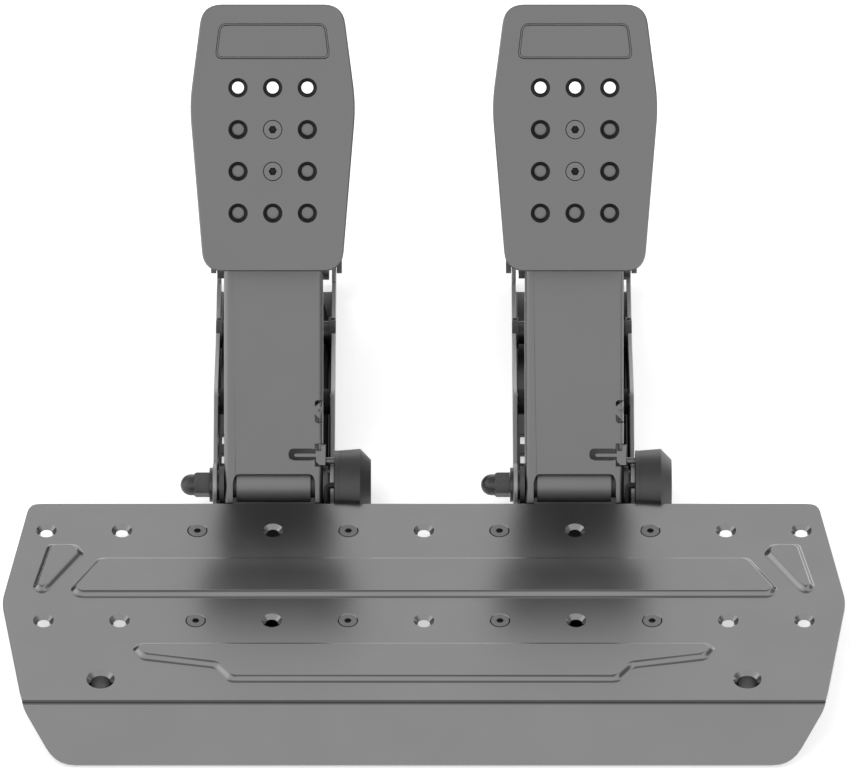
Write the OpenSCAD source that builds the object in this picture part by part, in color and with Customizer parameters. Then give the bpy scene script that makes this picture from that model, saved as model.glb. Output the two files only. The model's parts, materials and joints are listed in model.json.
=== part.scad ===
/* [Base plate] */
// Thickness of the bent base plate
plate_t = 2.5; // [2:0.1:2.8]
// Height of the plate's top face above the floor
plate_top = 22.5; // [22:0.5:26]
// Plate width at its widest, across the two side points
plate_w = 389; // [381:2:421]
// Plate width at the rear edge
rear_w = 366.5; // [360:0.5:378]
// Plate width at the front bend
bend_w = 368; // [360:1:378]
// Lip width at its bottom edge
lip_w = 336; // [320:0.5:350]
// Length of the front lip down its slope
lip_len = 27.5; // [26:0.5:29.5]
// Angle of the front lip below level
lip_angle = 45; // [40:1:45]
// From the rear hole row to the plate's rear edge
rear_margin = 19; // [15:0.5:20]
// From the rear hole row forward to the widest point
widest_y = 49.7; // [40:0.1:56]
// From the rear hole row forward to the front bend
bend_y = 116.5; // [114:0.5:122]
// Radius of the plate's rear corners
rear_corner_r = 5.5; // [2:0.5:8]
// Height of the pressed panels above the plate
emboss_h = 2.4; // [1.5:0.1:2.4]
// Width of the sloped side of a pressed panel
emboss_slope = 3.2; // [2.8:0.1:3.2]

/* [Plate holes] */
// Distance between hole columns
hole_pitch = 35; // [35:0.5:36]
// Distance between the two hole rows
row_gap = 62.5; // [60:0.5:64]
// Through diameter of the screw holes
screw_hole_d = 5.6; // [5.3:0.1:6]
// Countersink diameter of the screw holes
csk_d = 9.5; // [9:0.1:10.5]
// Sideways place of the two rig bolt holes
rig_x = 148; // [140:1:155]
// From the rear hole row forward to the rig bolt holes
rig_y = 102.8; // [100:0.2:104]
// Bore of the rig bolt bushes
rig_bore = 9; // [8.2:0.1:10]
// Countersink diameter over the rig bolt bushes
rig_csk_d = 13; // [12:0.1:13.4]
// Outside diameter of the rig bolt bushes
rig_bush_d = 14; // [13:0.5:16]

/* [Module frame] */
// Room between each cheek of the arm and the frame's wall
side_room = 3.3; // [3:0.1:4]
// Sheet thickness of the frame
frame_t = 2; // [1.8:0.1:2.2]
// Outside bend radius of the frame
frame_bend_r = 3; // [2.5:0.1:3.5]
// From the rear hole row forward to the frame's front end
frame_front = 75; // [72:0.5:76]
// From the rear hole row back to the frame's rear end
frame_end = 203; // [200:0.5:206]
// Height of the frame's rear ears
ear_top = 46; // [40:0.5:50]
// From the rear hole row back to the pivot axle
pivot_y = 37; // [36.5:0.1:38]
// Height of the pivot axle above the floor
pivot_z = 18.2; // [18:0.1:19]
// Radius of the frame's nose round the pivot axle
nose_r = 10; // [9.8:0.1:10.2]
// From the rear hole row back to the strut's lower shaft
shaft_y = 155; // [153:0.5:157]
// Height of the strut's lower shaft
shaft_z = 10.5; // [10.5:0.1:11.5]
// Sheet thickness of the rear bracket
bracket_t = 2.5; // [2:0.1:2.8]

/* [Arm] */
// Lean of the arm above level at rest
arm_angle = 53; // [51:0.5:55]
// Travel of the throttle arm
throttle_travel = 18; // [14:0.5:18]
// Travel of the brake arm
brake_travel = 12; // [9:0.5:12]
// From a pedal's screw column in to the side of its arm
arm_in = 12; // [11.9:0.1:12.5]
// Sheet thickness of the arm
arm_t = 2; // [1.8:0.1:2.2]
// Outside bend radius of the arm
arm_bend_r = 2.6; // [2.5:0.1:4]
// Distance of the arm's front face before the pivot axis
web_n = 8.5; // [8.4:0.1:9]
// Length of the arm above the pivot axis
arm_top = 176; // [172:0.5:178]
// Place of the strut bolt along the arm
bolt_s = 102.5; // [101.5:0.5:104]
// Distance of the strut bolt behind the pivot axis
bolt_back = 3; // [2:0.5:4]

/* [Pivot] */
// Diameter of the pivot axle
axle_d = 8; // [7.8:0.1:8.2]
// Radial running clearance of axles, shafts and bolts in their bores
run_gap = 0.05; // [0.03:0.01:0.08]
// Outside diameter of the sleeve between the arm's cheeks
sleeve_d = 16; // [15:0.1:16]
// From each side of the arm in to that sleeve's end
sleeve_in = 5.85; // [5.7:0.05:8]
// Flange diameter of the pivot bushes
bush_flange_d = 17.5; // [16:0.1:17.6]
// Flange thickness of the pivot bushes
bush_flange_t = 2.2; // [1.8:0.1:2.3]

/* [Face plate] */
// Lower end of the face plate along the arm
face_low = 101.3; // [99:0.1:104]
// Length of the face plate
face_len = 123.6; // [120:0.2:128]
// Width of the face plate at its top
face_top_w = 65; // [62:0.5:70]
// Width of the face plate at its bottom
face_low_w = 64.2; // [62:0.2:70]
// Width of the face plate at its widest
face_mid_w = 77; // [74:0.5:82]
// From the lower end up to the widest place
face_mid_s = 77.3; // [70:0.1:85]
// Thickness of the face plate
face_t = 3; // [2.5:0.1:3.5]
// Distance of the face plate's front before the arm's front
face_stand = 21; // [20:0.5:24]
// Pitch of the face holes across
face_pitch_x = 16.05; // [15:0.05:16.5]
// Pitch of the face holes along
face_pitch_s = 19.37; // [18.5:0.01:19.6]
// Lowest row of face holes above the face's lower end
face_row_low = 27; // [25:0.1:28]
// Countersink diameter of the face holes
face_csk_d = 9; // [8.5:0.1:9.5]

/* [Sensor] */
// Radius of the sensor housing where it is largest
sensor_r = 16.8; // [16.4:0.1:17.2]
// Radius of the sensor housing at its base
sensor_base_r = 16; // [15.6:0.1:16.2]
// Length of the sensor housing with its base
sensor_len = 16.9; // [16.5:0.1:19]
// Chamfer at the sensor housing's outer end
sensor_chamfer = 5; // [4:0.1:5.2]
// Diameter of the sensor lead
lead_d = 2.2; // [1.8:0.1:2.4]

/* [Strut] */
// Outside diameter of the strut tube
tube_d = 15; // [14:0.1:15.5]
// Bore of the strut tube
tube_bore = 12; // [11.8:0.1:12.4]
// Diameter of the strut rod
rod_d = 8; // [7.6:0.1:8.2]
// Radial play of the rod in the gland and of the piston in the tube
rod_play = 0.7; // [0.6:0.05:0.8]
// Distance of the tube's open end from the lower shaft
tube_end = 49; // [46:0.5:50]
// Length of the gland on the tube's end
gland_len = 5; // [4:0.5:6]
// Diameter of the spring seats
seat_d = 27; // [26.5:0.1:28]
// Mean diameter of both springs
coil_d = 22; // [21:0.1:22.5]
// Wire diameter of the throttle spring
throttle_wire = 2.6; // [2.2:0.1:2.8]
// Wire diameter of the brake spring
brake_wire = 4; // [3.2:0.1:4.1]
// Curls of the throttle spring
throttle_curls = 11; // [8:1:11]
// Curls of the brake spring
brake_curls = 9; // [7:1:9]

/* [Hidden] */
$fn = 48;

// Colours of the finishes
dark_steel = [0.22, 0.22, 0.225];
black_steel = [0.09, 0.09, 0.095];
bright_steel = [0.55, 0.55, 0.56];
black_plastic = [0.07, 0.07, 0.075];
nylon = [0.28, 0.28, 0.28];
rubber = [0.04, 0.04, 0.04];
board_green = [0.05, 0.22, 0.12];

// Small gap between parts that only lie beside each other
seat_gap = 0.3;
// Extra reach of a cutting body past the face that it cuts
past = 1;

// Plate and module placing
columns = 11;
under_plate = plate_top - plate_t;
bend_r = 4;
lip_front = bend_y + bend_r * sin(lip_angle) + lip_len * cos(lip_angle);
rear_face = frame_end + seat_gap + bracket_t;
y_shift = (lip_front - rear_face) / 2;
screw_x = hole_pitch;
module_x = 2 * hole_pitch;
arm_w = 2 * (hole_pitch - arm_in);
screw_row_y = [0, -row_gap];

// Frame measures
wall_in = arm_w / 2 + side_room;
sleeve_len = arm_w - 2 * sleeve_in;
frame_w = 2 * (wall_in + frame_t);
flange_w = 16;
flange_rear = 12;
web_end = 195;
ear_front = 190;
cheek_in = frame_w / 2 + seat_gap;
bracket_w = 2 * (cheek_in + bracket_t);
bracket_low = 17;
head_gap = 0.6;
rear_screw_d = 4;
rear_csk_d = 8;
rear_nut_h = 3.2;
rear_screw_z = [24, 38];
rear_screw_y = (ear_front + frame_end) / 2;

// Arm measures: s runs up the arm, n stands square out of its front face
face_n = web_n + face_stand;
end_r = 11;
back_profile = [[arm_top, -3], [arm_top - 20, -11], [bolt_s + 14, -15], [60, -19], [30, -16], [9, -10]];
pivot_cut_top = 5.4;
bush_barrel_d = 12;
slot_low = 12.2;
slot_high = 17.3;
lever_low = 9.6;
lever_high = 19.3;

// Right of a pedal stands its sensor, left of it the cap nut
washer_t = 1.4;
washer_d = 16;
nut_flats = 10.2;
nut_hex_len = 7;
nut_len = 13.5;
thread_d = 6;
base_t = 2;
housing_x = frame_w / 2 + 0.15 + base_t;
housing_end = frame_w / 2 + 0.15 + sensor_len;
lever_r = 12;
pin_d = 3.2;
lever_turn = 17;
lead_turn = 141;
lead_r = nose_r + 0.4;
board_x = housing_x + 7.75;
board_t = 1.6;
sensor_screw_turns = [205, 335];
sensor_screw_r = 12.3;

// Saddles of the strut shaft, and the lead's socket at the rear
axle_head_x = housing_x + 2.4;
axle_head_d = 13;
axle_head_h = 4;
saddle_neck_d = 12;
saddle_d = 15;
spacer_d = 11;
shaft_end = wall_in + frame_t - 0.8;
port_x = 10;
port_w = 16;
port_h = 14;
port_len = 15;
port_z = 25;

// Face bracket: its legs lie outside the arm's cheeks
leg_in = arm_w / 2 + 0.25;
leg_t = 2.5;
bracket_from = 116;
bracket_to = 175;
bracket_screw_s = [128, 164];

// Strut geometry: from the lower shaft to the strut bolt
function arm_point(s, n, angle) = [
    pivot_y + s * cos(angle) - n * sin(angle),
    pivot_z + s * sin(angle) + n * cos(angle)
];
function strut_vector(angle) = arm_point(bolt_s, -bolt_back, angle) - [shaft_y, shaft_z];
strut_rest = norm(strut_vector(arm_angle));
strut_angle = atan2(strut_vector(arm_angle)[1], strut_vector(arm_angle)[0]);
throttle_short = norm(strut_vector(arm_angle - throttle_travel));
brake_short = norm(strut_vector(arm_angle - brake_travel));
eye_r = 8;
eye_w = 14;
seat_r0 = 14;
seat_t = 3;
gland_end = tube_end + gland_len;
cap_from = strut_rest - eye_r - seat_t;
spring_from = seat_r0 + seat_t + seat_gap;
spring_len = cap_from - seat_gap - spring_from;

// The travel stop lies just behind the arm's back edge at full throttle travel
stop_d = 8;
stop_sleeve_d = 12;
stop_s = 46;
stop_n = -17.6 - stop_sleeve_d / 2 - seat_gap;
stop_at = arm_point(stop_s, stop_n, arm_angle - throttle_travel);

echo(pivot_y = pivot_y + y_shift, pivot_z = pivot_z, shaft_y = shaft_y + y_shift, shaft_z = shaft_z);
echo(bolt = arm_point(bolt_s, -bolt_back, arm_angle) + [y_shift, 0], strut_angle = strut_angle);
echo(strut_rest = strut_rest, throttle_short = throttle_short, brake_short = brake_short);
echo(stop_at = stop_at + [y_shift, 0], y_shift = y_shift, rear = rear_face + y_shift);

// Points of an arc round a centre
function arc(c, r, a0, a1, n) = [for (i = [0:n]) let (a = a0 + (a1 - a0) * i / n) c + r * [cos(a), sin(a)]];
function unit(v) = v / norm(v);
function cross2(a, b) = a[0] * b[1] - a[1] * b[0];

// An anticlockwise outline moved inwards by d
function inset(p, d) = [
    for (i = [0:len(p) - 1])
        let (
            k = len(p),
            a = unit(p[i] - p[(i + k - 1) % k]),
            b = unit(p[(i + 1) % k] - p[i]),
            turn = cross2(a, b),
            na = [-a[1], a[0]],
            nb = [-b[1], b[0]]
        )
        p[i] + (abs(turn) < 0.001 ? d * na : d * (a - b) * -1 / turn)
];

// An outline with each corner rounded by a short curve that starts r before it
function rounded(p, r, n = 5) = [
    for (i = [0:len(p) - 1])
        let (
            k = len(p),
            back = p[(i + k - 1) % k] - p[i],
            ahead = p[(i + 1) % k] - p[i],
            t = min(r, norm(back) * 0.45, norm(ahead) * 0.45),
            a = p[i] + unit(back) * t,
            b = p[i] + unit(ahead) * t
        )
        for (j = [0:n])
            let (u = j / n) (1 - u) * (1 - u) * a + 2 * u * (1 - u) * p[i] + u * u * b
];
function mirrored(half) = concat(half, [for (i = [len(half) - 1:-1:0]) [-half[i][0], half[i][1]]]);

// A solid through like outlines at rising heights
module stacked(rings, heights) {
    k = len(rings[0]);
    last = len(rings) - 1;
    polyhedron(
        points = [for (l = [0:last]) for (q = rings[l]) [q[0], q[1], heights[l]]],
        faces = concat(
            [[for (i = [0:k - 1]) i]],
            [[for (i = [k - 1:-1:0]) i + last * k]],
            [for (l = [0:last - 1]) for (i = [0:k - 1]) [l * k + i, (l + 1) * k + i, l * k + (i + 1) % k]],
            [for (l = [0:last - 1]) for (i = [0:k - 1])
                [l * k + (i + 1) % k, (l + 1) * k + i, (l + 1) * k + (i + 1) % k]]
        )
    );
}

module cyl_x(d, x0, x1) {
    translate([x0, 0, 0]) rotate([0, 90, 0]) cylinder(d = d, h = x1 - x0);
}
// A side outline in y and z, given its thickness along x
module side(x0, x1) {
    translate([x0, 0, 0]) rotate([90, 0, 90]) linear_extrude(x1 - x0) children();
}
module hex_x(flats, x0, x1, turn = 0) {
    translate([x0, 0, 0]) rotate([turn, 0, 0]) rotate([0, 90, 0])
        cylinder(d = flats / cos(30), h = x1 - x0, $fn = 6);
}
// A countersunk screw hole through a plate whose top face is at z = 0
module csk_hole(d, head_d, depth) {
    translate([0, 0, -depth - past]) cylinder(d = d, h = depth + 2 * past);
    translate([0, 0, -(head_d - d) / 2]) cylinder(d1 = d, d2 = head_d + 0.02, h = (head_d - d) / 2 + 0.01);
}
// A countersunk screw with a hex socket, its head flush with z = 0
module csk_screw(d, head_d, len, socket) {
    difference() {
        union() {
            translate([0, 0, -len]) cylinder(d = d, h = len - 0.1);
            translate([0, 0, -(head_d - d) / 2 - 0.1]) cylinder(d1 = d, d2 = head_d, h = (head_d - d) / 2);
        }
        translate([0, 0, -d * 0.5]) cylinder(d = socket / cos(30), h = d * 0.5 + past, $fn = 6);
    }
}

// Places a module's pieces: 1 is the throttle at the right, -1 the brake at the left
module at_module(hand) {
    translate([hand * module_x, y_shift, 0]) children();
}
module at_pivot() {
    translate([0, pivot_y, pivot_z]) children();
}
module at_arm() {
    at_pivot() rotate([arm_angle, 0, 0]) children();
}
// The strut's own frame: its z axis runs from the lower shaft to the strut bolt
module at_strut() {
    translate([0, shaft_y, shaft_z]) rotate([strut_angle - 90, 0, 0]) children();
}
module both() {
    at_module(-1) children();
    at_module(1) children();
}

// Outlines of the plate and of the panels pressed up in it
plate_outline = rounded([
    [3 * bend_r - bend_w / 2, -bend_y - 3 * bend_r], [bend_w / 2 - 3 * bend_r, -bend_y - 3 * bend_r],
    [bend_w / 2, -bend_y],
    [plate_w / 2, -widest_y], [rear_w / 2, rear_margin], [-rear_w / 2, rear_margin],
    [-plate_w / 2, -widest_y], [-bend_w / 2, -bend_y]
], rear_corner_r);
lip_outline = rounded([
    [-lip_w / 2, -lip_len], [lip_w / 2, -lip_len], [bend_w / 2, 0], [bend_w / 2, 3 * bend_r],
    [-bend_w / 2, 3 * bend_r], [-bend_w / 2, 0]
], 9);
upper_panel = mirrored([[160, -47.2], [164.2, -42], [150.5, -19]]);
lower_panel = mirrored([[89.5, -105.5], [96, -95.8], [129.8, -90.2], [135, -82.5], [130, -78]]);
end_panel = [[174.5, -9.5], [160.6, -9.5], [156.5, -16.5], [172.3, -41.8], [176.2, -44.9], [181.2, -41]];
panel_corner = 2.5;
function flipped(p) = [for (i = [len(p) - 1:-1:0]) [-p[i][0], p[i][1]]];
panels = [upper_panel, lower_panel, end_panel, flipped(end_panel)];
press_steps = [-1, -0.04, 0.2, 0.4, 0.6, 0.8, 1];

// A panel pressed up by emboss_h over a curved side: its outer skin, or the hollow below when drop is the sheet
module pressed(p, drop) {
    margin = drop * 0.4;
    stacked(
        [for (u = press_steps) rounded(inset(p, margin + emboss_slope * (u < 0 ? -0.04 : u)), panel_corner, 4)],
        [for (u = press_steps)
            u < -0.5 ? -0.4 - drop : u < 0 ? -0.03 - drop : emboss_h * (1 - cos(180 * u)) / 2 - drop]
    );
}
module bent_sheet() {
    bend_at = [-bend_y, plate_top - bend_r];
    tip = bend_at + bend_r * [-sin(lip_angle), cos(lip_angle)] + lip_len * [-cos(lip_angle), -sin(lip_angle)];
    tip_in = tip + plate_t * [sin(lip_angle), -cos(lip_angle)];
    side(-plate_w / 2 - past, plate_w / 2 + past) polygon(concat(
        [[rear_margin + past, under_plate], [rear_margin + past, plate_top]],
        arc(bend_at, bend_r, 90, 90 + lip_angle, 8),
        [tip, tip_in],
        arc(bend_at, bend_r - plate_t, 90 + lip_angle, 90, 8)
    ));
}
module plate_holes() {
    for (i = [0:columns - 1])
        for (y = screw_row_y)
            translate([(i - (columns - 1) / 2) * hole_pitch, y, plate_top])
                csk_hole(screw_hole_d, csk_d, plate_t);
    for (x = [-rig_x, rig_x])
        translate([x, -rig_y, plate_top]) csk_hole(rig_bore, rig_csk_d, plate_t);
}
module base_plate() {
    lip_top = [-bend_y - bend_r * sin(lip_angle), plate_top - bend_r + bend_r * cos(lip_angle)];
    color(dark_steel) translate([0, y_shift, 0]) difference() {
        union() {
            intersection() {
                bent_sheet();
                union() {
                    translate([0, 0, under_plate - 2 * bend_r])
                        linear_extrude(4 * bend_r) polygon(plate_outline);
                    translate([0, lip_top[0], lip_top[1]]) rotate([lip_angle, 0, 0])
                        translate([0, 0, -2 * plate_t]) linear_extrude(3 * plate_t) polygon(lip_outline);
                }
            }
            for (p = panels) translate([0, 0, plate_top]) pressed(p, 0);
        }
        for (p = panels) translate([0, 0, plate_top]) pressed(p, plate_t);
        plate_holes();
        // A long lip stands on the floor with its inner edge cut level
        translate([-plate_w, -lip_front - bend_r, -2 * bend_r]) cube([2 * plate_w, bend_y, 2 * bend_r]);
    }
}
module front_bushes() {
    color(bright_steel) translate([0, y_shift - rig_y, 0]) for (x = [-rig_x, rig_x])
        translate([x, 0, 0]) difference() {
            cylinder(d = rig_bush_d, h = under_plate);
            translate([0, 0, -past]) cylinder(d = rig_bore + 1, h = under_plate + 2 * past);
        }
}
module mount_screws() {
    color(black_steel) both() for (x = [-screw_x, screw_x]) for (y = screw_row_y)
        translate([x, y, plate_top]) csk_screw(5, csk_d - 2 * head_gap, 14, 3);
}
module mount_nuts() {
    color(bright_steel) both() for (x = [-screw_x, screw_x]) for (y = screw_row_y)
        translate([x, y, under_plate - frame_t - 4]) difference() {
            cylinder(d = 8 / cos(30), h = 4, $fn = 6);
            translate([0, 0, -past]) cylinder(d = 5 + 2 * run_gap, h = 6);
        }
}

// Frame: a channel with outward flanges under the plate and ears at the rear
function channel(w, t, r, h) = concat(
    [[-w / 2, h]],
    arc([-w / 2 + r, r], r, 180, 270, 5),
    arc([w / 2 - r, r], r, 270, 360, 5),
    [[w / 2, h], [w / 2 - t, h]],
    arc([w / 2 - r, r], r - t, 0, -90, 5),
    arc([-w / 2 + r, r], r - t, -90, -180, 5),
    [[-w / 2 + t, h]]
);
wall_outline = [
    [-frame_front, -past], [-frame_front, under_plate - 1], [rear_margin - 1, under_plate - 1],
    [rear_margin + 1, under_plate - 3], [pivot_y - nose_r, under_plate - 4], [pivot_y, pivot_z],
    [pivot_y + nose_r * 0.7, pivot_z + nose_r * 0.6], [pivot_y + 13, 16.8], [54.7, 18], [61.7, 22.9],
    [76, 28.2], [83, 32.6], [88, 33], [112.6, 26.5], [140, 16.9], [shaft_y - 8, 15.6],
    [shaft_y + 8, 14.4], [170, 13.5], [185, 12.4], [ear_front, 11.5], [ear_front, ear_top - 5],
    [ear_front + 5, ear_top], [frame_end - 5, ear_top], [frame_end, ear_top - 5], [frame_end, -past]
];
module frame_part(hand) {
    color(dark_steel) at_module(hand) difference() {
        union() {
            intersection() {
                translate([0, frame_end, 0]) rotate([90, 0, 0])
                    linear_extrude(frame_end + frame_front)
                        polygon(channel(frame_w, frame_t, frame_bend_r, ear_top + past));
                union() {
                    side(-frame_w, frame_w) polygon(wall_outline);
                    at_pivot() cyl_x(2 * nose_r, -frame_w, frame_w);
                }
            }
            for (s = [-1, 1])
                translate([s > 0 ? wall_in : -wall_in - frame_t - flange_w, -frame_front, under_plate - frame_t])
                    cube([frame_t + flange_w, frame_front + flange_rear, frame_t]);
        }
        // Open rear end, windows and slots of the bottom
        translate([-wall_in, web_end, -past]) cube([2 * wall_in, 20, frame_t + 2 * past]);
        for (y = [71, 84.8]) translate([-wall_in + 1.5, y, -past]) cube([wall_in - 3, 6.6, frame_t + 2 * past]);
        translate([15, 170, -past]) cube([10, 5, frame_t + 2 * past]);
        // Pivot, stop bar and strut shaft
        at_pivot() cyl_x(axle_d + 2 * run_gap, -frame_w, frame_w);
        translate([0, stop_at[0], stop_at[1]]) cyl_x(stop_d + 2 * run_gap, -frame_w, frame_w);
        translate([0, shaft_y, shaft_z]) {
            cyl_x(saddle_neck_d + 2 * run_gap, -frame_w, frame_w);
            translate([-frame_w, -saddle_neck_d / 2 - run_gap, 0])
                cube([2 * frame_w, saddle_neck_d + 2 * run_gap, 30]);
        }
        // Sensor screws and the notch for the lead in the right wall
        at_pivot() {
            for (a = sensor_screw_turns) rotate([a, 0, 0])
                translate([0, sensor_screw_r, 0]) cyl_x(3 + 2 * run_gap, 0, frame_w);
            rotate([lead_turn, 0, 0]) translate([0, lead_r, 0]) cyl_x(lead_d + 2 * seat_gap, 0, frame_w);
        }
        for (x = [-screw_x, screw_x]) for (y = screw_row_y)
            translate([x, y, 0]) cylinder(d = screw_hole_d, h = plate_top);
        for (z = rear_screw_z)
            translate([0, rear_screw_y, z]) cyl_x(rear_screw_d + 2 * run_gap, -frame_w, frame_w);
    }
}

module rear_bracket(hand) {
    color(dark_steel) at_module(hand) difference() {
        intersection() {
            translate([0, 0, bracket_low]) linear_extrude(ear_top - bracket_low + 2) polygon([
                for (q = channel(bracket_w, bracket_t, bracket_t + 1, 40)) [q[0], rear_face - q[1]]
            ]);
            side(-bracket_w, bracket_w) polygon(rounded([
                [ear_front - 1, bracket_low], [rear_face + past, bracket_low], [rear_face + past, ear_top + 1],
                [ear_front - 1, ear_top + 1]
            ], 3));
        }
        for (s = [0, 1]) mirror([s, 0, 0]) for (z = rear_screw_z)
            translate([cheek_in + bracket_t, rear_screw_y, z]) rotate([0, 90, 0])
                csk_hole(rear_screw_d + 2 * run_gap, rear_csk_d, bracket_t);
        translate([port_x - port_w / 2 + 2, frame_end - 2, port_z + 2]) cube([port_w - 4, 10, port_h - 4]);
        translate([-20, frame_end - 2, port_z + 3]) cube([14, 10, 10]);
    }
}
module rear_screws() {
    color(black_steel) both() for (s = [0, 1]) mirror([s, 0, 0]) for (z = rear_screw_z)
        translate([cheek_in + bracket_t, rear_screw_y, z]) rotate([0, 90, 0]) {
            csk_screw(rear_screw_d, rear_csk_d - 0.4, cheek_in + bracket_t - wall_in + 4, 2.5);
            translate([0, 0, wall_in - cheek_in - bracket_t - rear_nut_h - 0.05]) difference() {
                cylinder(d = 7 / cos(30), h = rear_nut_h, $fn = 6);
                translate([0, 0, -past]) cylinder(d = rear_screw_d + 2 * run_gap, h = rear_nut_h + 2 * past);
            }
        }
}
module lead_ports() {
    color(black_plastic) both() translate([port_x - port_w / 2, frame_end + seat_gap - port_len, port_z]) difference() {
        cube([port_w, port_len, port_h]);
        translate([2.4, 4, 2.8]) cube([port_w - 4.8, port_len, port_h - 6]);
        translate([5.4, 4, 2]) cube([port_w - 10.8, port_len, port_h - 6]);
    }
}

// Pivot axle with its cap nut and washers
module axles() {
    color(bright_steel) both() at_pivot() {
        cyl_x(axle_d, -frame_w / 2 - washer_t - 0.2, axle_head_x + 0.2);
        difference() {
            cyl_x(axle_head_d, axle_head_x, axle_head_x + axle_head_h);
            hex_x(5, axle_head_x + axle_head_h / 2, axle_head_x + 2 * axle_head_h);
        }
        cyl_x(thread_d, -frame_w / 2 - washer_t - 10, -frame_w / 2);
    }
}
module cap_nuts() {
    hex_end = -frame_w / 2 - washer_t - 0.25;
    dome_r = nut_flats / 2 - 0.15;
    color(bright_steel) both() at_pivot() difference() {
        union() {
            intersection() {
                hex_x(nut_flats, hex_end - nut_hex_len, hex_end, 30);
                translate([hex_end - nut_hex_len, 0, 0]) rotate([0, 90, 0])
                    cylinder(d1 = nut_flats + 0.2, d2 = nut_flats + 10, h = nut_hex_len + 0.01);
            }
            translate([hex_end - 1, 0, 0]) rotate([0, -90, 0]) rotate_extrude() polygon(concat(
                [[0, 0], [dome_r, 0]], arc([0, nut_len - dome_r - 1], dome_r, 0, 90, 9)
            ));
        }
        cyl_x(thread_d + 2 * run_gap, hex_end - 10.2, hex_end + past);
    }
}
module axle_washers() {
    color(bright_steel) both() at_pivot() {
        difference() {
            cyl_x(washer_d, -frame_w / 2 - washer_t - 0.15, -frame_w / 2 - 0.1);
            cyl_x(axle_d + 2 * run_gap, -frame_w, 0);
        }
        for (s = [0, 1]) mirror([s, 0, 0]) difference() {
            cyl_x(14, arm_w / 2 + bush_flange_t + 0.15, wall_in - 0.1);
            cyl_x(axle_d + 2 * run_gap, 0, frame_w);
        }
    }
}

// Lower strut shaft, in nylon saddles that sit in the notches of both walls
module strut_shafts() {
    color(bright_steel) both() translate([0, shaft_y, shaft_z]) cyl_x(axle_d, -shaft_end, shaft_end);
}
module shaft_saddles() {
    color(nylon) both() translate([0, shaft_y, shaft_z]) for (s = [0, 1]) mirror([s, 0, 0]) difference() {
        union() {
            cyl_x(saddle_neck_d, wall_in - 1, wall_in + frame_t);
            cyl_x(saddle_d, wall_in - 1, wall_in - 0.1);
        }
        cyl_x(axle_d + 2 * run_gap, 0, shaft_end + run_gap);
    }
}
module shaft_spacers() {
    color(bright_steel) both() translate([0, shaft_y, shaft_z]) for (s = [0, 1]) mirror([s, 0, 0]) difference() {
        cyl_x(spacer_d, max(eye_w, tube_d) / 2 + seat_gap, wall_in - 1 - 0.1);
        cyl_x(axle_d + 2 * run_gap, 0, frame_w);
    }
}
module stop_bars() {
    color(bright_steel) both() translate([0, stop_at[0], stop_at[1]]) cyl_x(stop_d, -frame_w / 2, frame_w / 2);
}
module stop_sleeves() {
    color(rubber) both() translate([0, stop_at[0], stop_at[1]]) difference() {
        cyl_x(stop_sleeve_d, -wall_in + 0.3, wall_in - 0.3);
        cyl_x(stop_d + 2 * run_gap, -frame_w, frame_w);
    }
}

// Arm: a channel open at the back, cut from the front for the sleeve and the sensor lever
module arm(hand) {
    color(dark_steel) at_module(hand) at_arm() difference() {
        intersection() {
            translate([0, arm_top, 0]) rotate([90, 0, 0]) linear_extrude(arm_top + 20) polygon([
                for (q = channel(arm_w, arm_t, arm_bend_r, 40)) [q[0], web_n - q[1]]
            ]);
            union() {
                side(-arm_w, arm_w)
                    polygon(concat([[-7.4, web_n + past], [arm_top, web_n + past]], back_profile, [[-9.2, 6]]));
                cyl_x(2 * end_r, -arm_w, arm_w);
            }
        }
        // Round the sleeve
        translate([0, 0, web_n - arm_t - 4]) linear_extrude(arm_t + 8) polygon(rounded([
            [-18.9, -20], [19.4, -20], [19.4, pivot_cut_top - 3.5], [18, pivot_cut_top], [-17.5, pivot_cut_top],
            [-18.9, pivot_cut_top - 3.5]
        ], 2.4));
        cyl_x(bush_barrel_d + 2 * run_gap, -arm_w, arm_w);
        translate([0, bolt_s, -bolt_back]) cyl_x(axle_d + 2 * run_gap, -arm_w, arm_w);
        // Slot of the sensor lever
        translate([0, 0, web_n - arm_t - 0.5]) linear_extrude(arm_t + 2) polygon(rounded([
            [7.2, slot_low], [arm_w / 2 - 3.4, slot_low], [arm_w / 2 - 3.4, slot_high], [7.2, slot_high]
        ], 3.1));
        translate([arm_w / 2 - 3.8, slot_low, web_n - arm_t - 0.5]) cube([6, slot_high - slot_low, arm_t + 2]);
        translate([arm_w / 2 - 3.6, lever_low - seat_gap, web_n - arm_t - 0.5])
            cube([8, lever_high - lever_low + 2 * seat_gap, arm_t + 2]);
        // Three small openings that leave two hooks in the right edge
        translate([0, 0, web_n - arm_t - 2]) linear_extrude(arm_t + 4) {
            polygon([[19.4, 37.4], [19.4, 39.2], [20.2, 39.9], [22.9, 39.9]]);
            polygon([[20.8, 35.4], [24.2, 32.6], [24.2, 38.2]]);
            polygon([[19.4, 33.2], [19.4, 30.4], [20.3, 29.5], [23.2, 29.5]]);
        }
        for (s = bracket_screw_s) translate([0, s, 0]) cyl_x(5 + 2 * run_gap, -arm_w, arm_w);
    }
}

module pivot_sleeve(hand) {
    color(bright_steel) at_module(hand) at_pivot() difference() {
        cyl_x(sleeve_d, -sleeve_len / 2, sleeve_len / 2);
        cyl_x(axle_d + 2 * run_gap + 0.6, -arm_w, arm_w);
    }
}
module pivot_bushes(hand) {
    color(nylon) at_module(hand) at_pivot() for (s = [0, 1]) mirror([s, 0, 0]) difference() {
        union() {
            cyl_x(bush_barrel_d, sleeve_len / 2 + 0.1, arm_w / 2 + 0.5);
            cyl_x(bush_flange_d, arm_w / 2 + 0.05, arm_w / 2 + 0.05 + bush_flange_t);
        }
        cyl_x(axle_d + 2 * run_gap, 0, frame_w);
    }
}

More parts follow.
